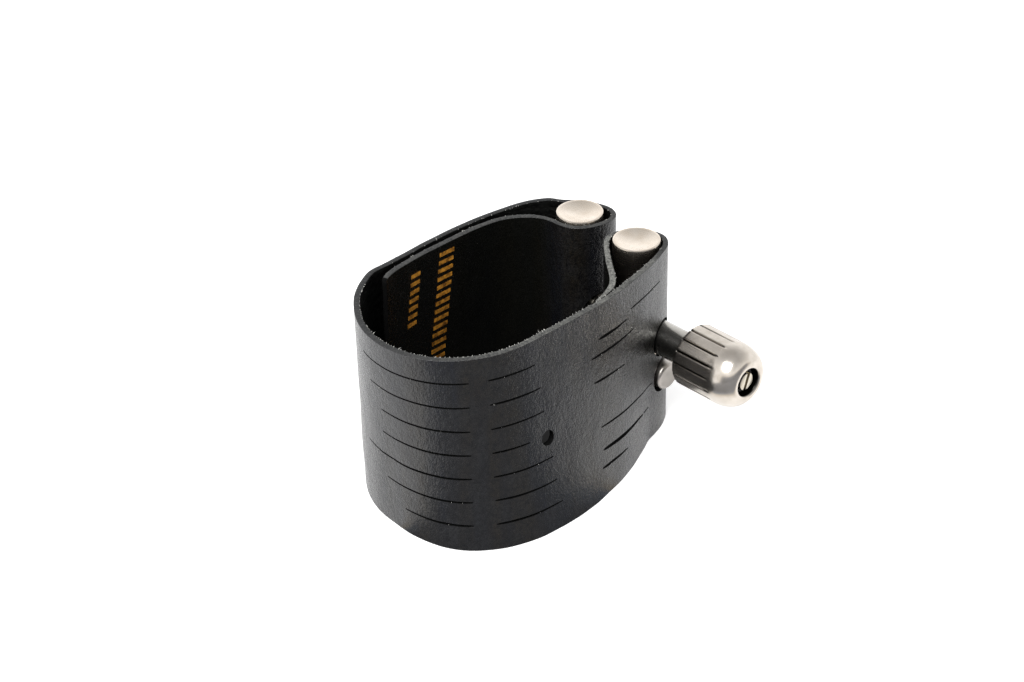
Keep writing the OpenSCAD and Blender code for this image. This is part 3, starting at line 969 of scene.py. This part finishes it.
def knob_shape(h, angle, r):
    """What the grooves and the flat lands take off the knob's round outside."""
    if r < KNOB_R - 1.6:
        return 0.0
    share = 1 - float(smooth(h, KNOB_LEN * 0.56, KNOB_LEN * 0.68))
    turn = (angle * GROOVES / (2 * math.pi)) % 1 - 0.5        # 0 in the middle of a groove
    off = abs(turn) * 2 * math.pi / GROOVES * KNOB_R          # distance from it round the knob
    groove = max(0.0, 0.30 - off * 1.7) * share
    land = (0.5 - abs(turn)) * 2 * math.pi / GROOVES          # angle from the land's middle
    flat = KNOB_R * (1 - math.cos(0.13) / max(math.cos(land), 0.9)) * 0.9 if groove == 0 else 0
    return groove + max(flat, 0) * share


def build_knob():
    nose = 3.1
    dome = [(KNOB_LEN - nose + nose * math.sin(a), FACE_R + (KNOB_R - FACE_R) * math.cos(a))
            for a in np.radians(np.linspace(0, 90, 22))]
    start = [(0, SLEEVE_R + 0.03), (0, KNOB_R - 0.30), (0.06, KNOB_R - 0.14), (0.16, KNOB_R - 0.05),
             (0.32, KNOB_R)]
    flank = [(h, KNOB_R) for h in np.linspace(0.32, KNOB_LEN - nose, 26)[1:-1]]
    recess = [(KNOB_LEN - 0.04, FACE_R - 0.24), (KNOB_LEN - 0.16, RECESS_R + 0.04),
              (KNOB_LEN - 0.3, RECESS_R), (KNOB_LEN - RECESS_DEPTH, RECESS_R),
              (KNOB_LEN - RECESS_DEPTH, STUD_R + 0.02)]
    inside = [(2.02, STUD_R + 0.02), (2.02, SLEEVE_R + 0.03)]
    piece = turned("knob", start + flank + dome + recess + inside, GROOVES * 20, KNOB_IN, SCREW_Z,
                   [NICKEL_KNOB], "knob_metal", True, knob_shape)
    stand_in(piece, "tuning_knob", "screw", 38)


STUD_LOW, STUD_HIGH = box_mm("screw_stud")
STUD_LEN = STUD_HIGH[1] - STUD_LOW[1]
NECK = STUD_LEN - 1.85               # where the stud steps down to its tip
PITCH, THREAD_DEPTH = 0.794, 0.42


def thread_shape(h, angle, r):
    """What the thread takes off the stud's round outside."""
    if r < STUD_R - 0.01:
        return 0.0
    phase = (h / PITCH - angle / (2 * math.pi)) % 1
    depth = THREAD_DEPTH * min(1.0, max(0.0, abs(phase - 0.5) * 2.6 - 0.2))
    return depth * float(smooth(h, 0, 1.2)) * (1 - float(smooth(h, NECK - 12.5, NECK - 11.5)))


def build_stud():
    """Threaded stud: helical thread, plain neck and a slotted tip in the knob's recess."""
    tip_r = 1.15
    end = [(0, 0), (0, STUD_R - 0.55), (0.3, STUD_R - 0.1)]
    rows = [(h, STUD_R) for h in np.arange(0.35, NECK - 10, PITCH / 9)]
    neck = [(NECK - 0.1, STUD_R), (NECK, STUD_R - 0.1), (NECK, tip_r + 0.05), (NECK + 0.05, tip_r)]
    tip = [(STUD_LEN - 0.12, tip_r), (STUD_LEN - 0.04, tip_r - 0.03), (STUD_LEN, tip_r - 0.12), (STUD_LEN, 0)]
    piece = turned("stud", end + rows + neck + tip, 48, STUD_HIGH[1], SCREW_Z, [STEEL_STUD], "stud_metal",
                   shape=thread_shape)
    half_w, half_l, depth = 0.26, 2.0, 0.6
    turn = Matrix.Rotation(math.radians(20), 3, "Y")
    corners = [turn @ Vector((x, y, z))
               for x in (-half_w, half_w) for y in (-depth, 1) for z in (-half_l, half_l)]
    slot_verts = [(SCREW_X + c.x, STUD_LOW[1] - c.y, SCREW_Z + c.z) for c in corners]
    slot_faces = [(0, 1, 3, 2), (4, 6, 7, 5), (0, 4, 5, 1), (2, 3, 7, 6), (0, 2, 6, 4), (1, 5, 7, 3)]
    cutter = new_piece("cutter", slot_verts, slot_faces, [])
    cutter.data.flip_normals()
    cut(piece, [cutter])
    stand_in(piece, "screw_stud", "screw", 35)


def build_sleeve():
    low, high = box_mm("shoulder_sleeve")
    length, bore_r = high[1] - low[1], STUD_R + 0.02
    corners = [(0.1, bore_r), (0, bore_r + 0.08), (0, SLEEVE_R - 0.12), (0.12, SLEEVE_R)]
    flank = [(h, SLEEVE_R) for h in np.linspace(0.3, length - 0.3, 12)]
    tail = [(length - 0.1, SLEEVE_R), (length, SLEEVE_R - 0.08), (length, bore_r)]
    piece = turned("sleeve", corners + flank + tail, 72, high[1], SCREW_Z, [NICKEL_SLEEVE], closed=True)
    stand_in(piece, "shoulder_sleeve", "screw", 35)


def build_shade_ring():
    """A black ring, squeezed between the stud's tip and the recess: painted shade where the recess is in
    shade.
    """
    low, high = box_mm("knob_seal")
    mid_y, half = (low[1] + high[1]) / 2, (high[1] - low[1]) / 2
    inner, outer = 1.17, 1.78
    profile = [(half * math.sin(a), (inner + outer) / 2 + (outer - inner) / 2 * math.cos(a) *
                (1 + 0.12 * math.cos(2 * a)) / 1.12) for a in np.linspace(0, 2 * math.pi, 28, endpoint=False)]
    piece = turned("seal", profile, 64, mid_y, SCREW_Z, [SHADE_RING], "seal", True)
    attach(piece, "screw")
    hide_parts("knob_seal")


def build_pin():
    low, high = box_mm("guide_pin")
    length = high[1] - low[1]
    corners = [(0, 0), (0, PIN_R - 0.1), (0.1, PIN_R)]
    flank = [(h, PIN_R) for h in np.linspace(0.4, length - 1.0, 40)]
    nose = [(length - 0.5 + 0.42 * math.sin(a), PIN_R - 0.5 + 0.5 * math.cos(a))
            for a in np.radians(np.arange(0, 91, 10))]
    crown = [(length - 0.08 + 0.08 * (1 - t * t), (PIN_R - 0.5) * t)
             for t in (0.9, 0.75, 0.6, 0.45, 0.3, 0.15, 0)]
    piece = turned("guide_pin_turned", corners + flank + nose + crown, 72, high[1], PIN_Z, [STEEL_PIN])
    stand_in(piece, "guide_pin", "far_roller", 40)


build_knob()
build_stud()
build_sleeve()
build_shade_ring()
build_pin()


# ---- Camera, floor and light ----
def build_camera():
    azimuth, elevation, roll = (math.radians(a) for a in (-42.79, 33.0, -1.5))
    aim, distance = Vector((11.64, 4.50, 12.7)) * MM, 300.6 * MM
    back = Vector((math.sin(azimuth) * math.cos(elevation), -math.cos(azimuth) * math.cos(elevation),
                   math.sin(elevation)))
    right = Vector((math.cos(azimuth), math.sin(azimuth), 0))
    turned_right = right * math.cos(roll) + back.cross(right) * math.sin(roll)
    axes = Matrix((turned_right, back.cross(turned_right), back)).transposed().to_4x4()
    data = bpy.data.cameras.new("camera")
    data.lens, data.sensor_width, data.clip_start = 84.375, 36.0, 0.01
    camera = add_object("camera", data)
    camera.matrix_world = Matrix.Translation(aim + back * distance) @ axes
    bpy.context.scene.camera = camera


DARK_SIDE = (-0.375, -0.927)     # the side from which the object is seen, kept dark by a black card
WHITE, CARD = (0.92, 0.92, 0.92), (0.22, 0.225, 0.24)
CARD_EDGE = [(0.0, WHITE), (0.40, (0.60, 0.52, 0.42)), (0.60, (0.20, 0.25, 0.32)), (1.0, CARD)]


def card_share(t, x, y):
    """1 towards the black card, 0 away from it, for a horizontal direction."""
    dot = t.plus(t.times(x, DARK_SIDE[0]), t.times(y, DARK_SIDE[1]))
    return t.ramp(t.math("DIVIDE", dot, t.hypot(x, y)), 0.42, 0.60)


def floor_material():
    """White to the eye. Other rays find the card's dark on one side, but not at the knob's foot, and
    every ray finds the floor in deep shadow inside the band."""
    t = Surface("floor_white", Roughness=0.9, Specular_IOR_Level=0.1, Emission_Color=(1, 1, 1, 1))
    x, y, _ = t.add("SeparateXYZ", {0: t.object_point()}).outputs
    shadow = t.add("Attribute", attribute_name="shadow").outputs["Fac"]
    unseen = t.math("SUBTRACT", 1.0, t.add("LightPath").outputs["Is Camera Ray"])
    from_knob = t.hypot(t.math("SUBTRACT", x, SCREW_X * MM), t.math("SUBTRACT", y, KNOB_OUT * MM))
    card = t.times(t.times(card_share(t, x, y), unseen), t.ramp(from_knob, 0.010, 0.020))
    dimmed = t.math("MAXIMUM", card, t.times(unseen, 0.5))
    glow = t.times(t.math("SUBTRACT", 1.0, shadow), t.ramp(dimmed, 0.0, 1.0, 0.4, 0.0))
    return t.shade(Emission_Strength=glow,
                   Base_Color=t.mix(shadow, t.colours(card, CARD_EDGE), (0.03, 0.03, 0.03)))


def shadow_share(points):
    """1 on the floor inside the strap's lower rim, 0 outside it, with a soft edge under the strap."""
    around = (PATH_S > LOOP_S - 3) & (PATH_S < FAR_LOOP_S)
    rim = (PATH + FLARE)[around][::4]
    x, y = points.T
    inside = np.zeros(len(points), bool)
    for a, b in zip(rim, np.roll(rim, -1, axis=0)):
        crosses = (a[1] > y) != (b[1] > y)
        at = a[0] + (y - a[1]) * (b[0] - a[0]) / np.where(b[1] == a[1], 1e-9, b[1] - a[1])
        inside ^= crosses & (x < at)
    distance = np.array([np.min(np.hypot(*(rim - p).T)) for p in points])
    return smooth(distance, 0.1, 0.7) * inside


def build_floor():
    """A large square, finely divided under the strap."""
    size, cell = 3000.0, 0.4
    xs = np.concatenate([[-size], np.arange(-18, 33, cell), [size]])
    ys = np.concatenate([[-size], np.arange(-19, 20, cell), [size]])
    points = np.array([(x, y) for x in xs for y in ys])
    n = len(ys)
    faces = [(i * n + j, (i + 1) * n + j, (i + 1) * n + j + 1, i * n + j + 1)
             for i in range(len(xs) - 1) for j in range(n - 1)]
    mesh = bpy.data.meshes.new("floor")
    mesh.from_pydata([(x * MM, y * MM, 0) for x, y in points], [], faces)
    mark(mesh, "shadow", shadow_share(points))
    mesh.materials.append(floor_material())
    add_object("floor", mesh)


def build_key_light():
    """A soft light from above, on the round bend's side."""
    data = bpy.data.lights.new("key", "AREA")
    data.shape, data.size, data.energy = "SQUARE", 0.30, 4.0
    light = add_object("key", data)
    light.location = (-0.35, -0.15, 0.55)
    aim = Vector((0.01, 0, 0.01))
    light.rotation_euler = (aim - light.location).to_track_quat("-Z", "Y").to_euler()


def build_world():
    """A white tent with a black card low down on the side from which the object is seen."""
    world = bpy.data.worlds.new("studio")
    world.use_nodes = True
    bpy.context.scene.world = world
    t = Tree(world.node_tree)
    x, y, z = t.add("SeparateXYZ", {0: t.add("TexCoord").outputs["Generated"]}).outputs
    card = t.times(card_share(t, x, y), t.ramp(z, 0.40, 0.22))
    seen = t.add("LightPath").outputs["Is Camera Ray"]
    background = t.nodes["Background"].inputs
    t.join(t.mix(seen, t.colours(card, CARD_EDGE), (1, 1, 1)), background["Color"])
    t.join(t.ramp(z, 0.40, 0.90, 1.45, 0.62), background["Strength"])


build_camera()
build_floor()
build_world()
build_key_light()
bpy.context.scene.view_settings.view_transform = "Standard"

bpy.context.view_layer.update()
